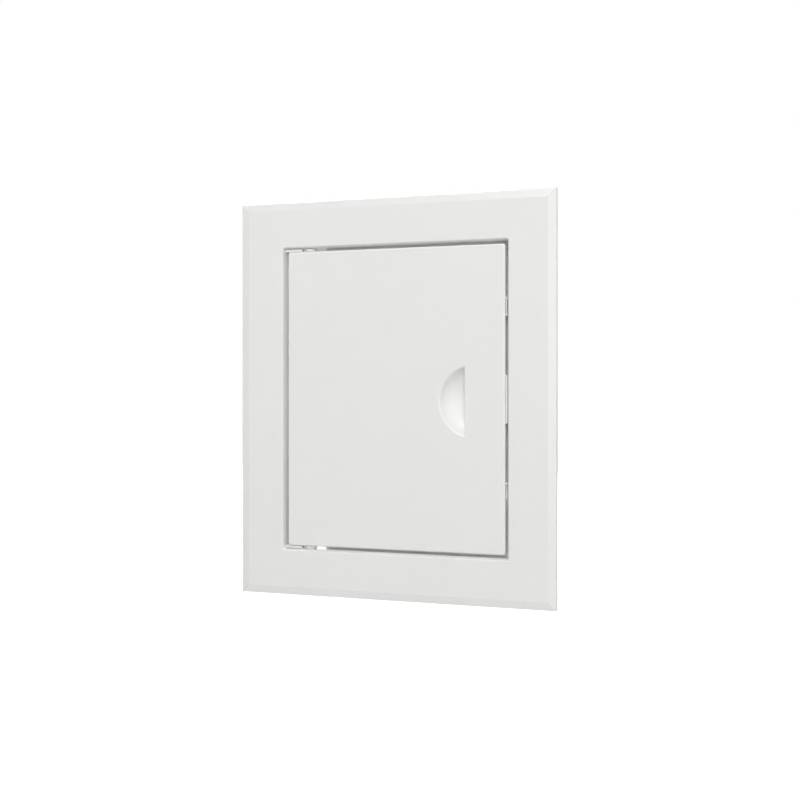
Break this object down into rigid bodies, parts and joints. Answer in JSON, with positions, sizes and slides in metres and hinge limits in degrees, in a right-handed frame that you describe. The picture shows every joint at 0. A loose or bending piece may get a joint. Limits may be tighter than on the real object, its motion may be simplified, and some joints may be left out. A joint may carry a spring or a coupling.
{
  "type": "ceiling access panel",
  "caption": "White plastic access panel: a flanged frame with a bevelled edge, and a leaf on snap hinges with a half-moon finger recess and a sprung catch.",
  "frame": {"origin": "middle of the opening, in the plane of the wall or ceiling board that the flange sits on", "axes": "+Y into the board, away from the viewer; +X to the catch side as seen from the front; +Z along the hinge axis"},
  "size_m": [0.2176, 0.0228, 0.268],
  "materials": {
    "panel_white": "white ABS, very fine spark-eroded texture",
    "hinge_white": "white acetal, smooth",
    "buffer_grey": "pale grey soft plastic",
    "zinc_steel": "bright zinc plate"
  },
  "bodies": {
    "frame": {"frame": "panel_white", "upper_hinge_socket": "hinge_white", "lower_hinge_socket": "hinge_white"},
    "leaf": {"door_leaf": "panel_white", "upper_hinge_pin": "hinge_white", "lower_hinge_pin": "hinge_white", "catch_spring": "zinc_steel", "catch_cover": "hinge_white", "catch_screw_upper": "zinc_steel", "catch_screw_lower": "zinc_steel", "upper_edge_buffer": "buffer_grey", "lower_edge_buffer": "buffer_grey"},
    "tongue": {"catch_tongue": "hinge_white"}
  },
  "joints": [
    {"name": "leaf_hinge", "type": "hinge", "parent": "frame", "child": "leaf", "pos_m": [-0.0632, 0.0026, 0], "axis": [0, 0, -1], "range_deg": [0, 140]},
    {"name": "catch_slide", "type": "slide", "parent": "leaf", "child": "tongue", "axis": [-1, 0, 0], "range_m": [0, 0.0012], "stiffness_N_per_m": 600, "springref_m": -0.003, "deforming": ["catch_spring"]}
  ]
}
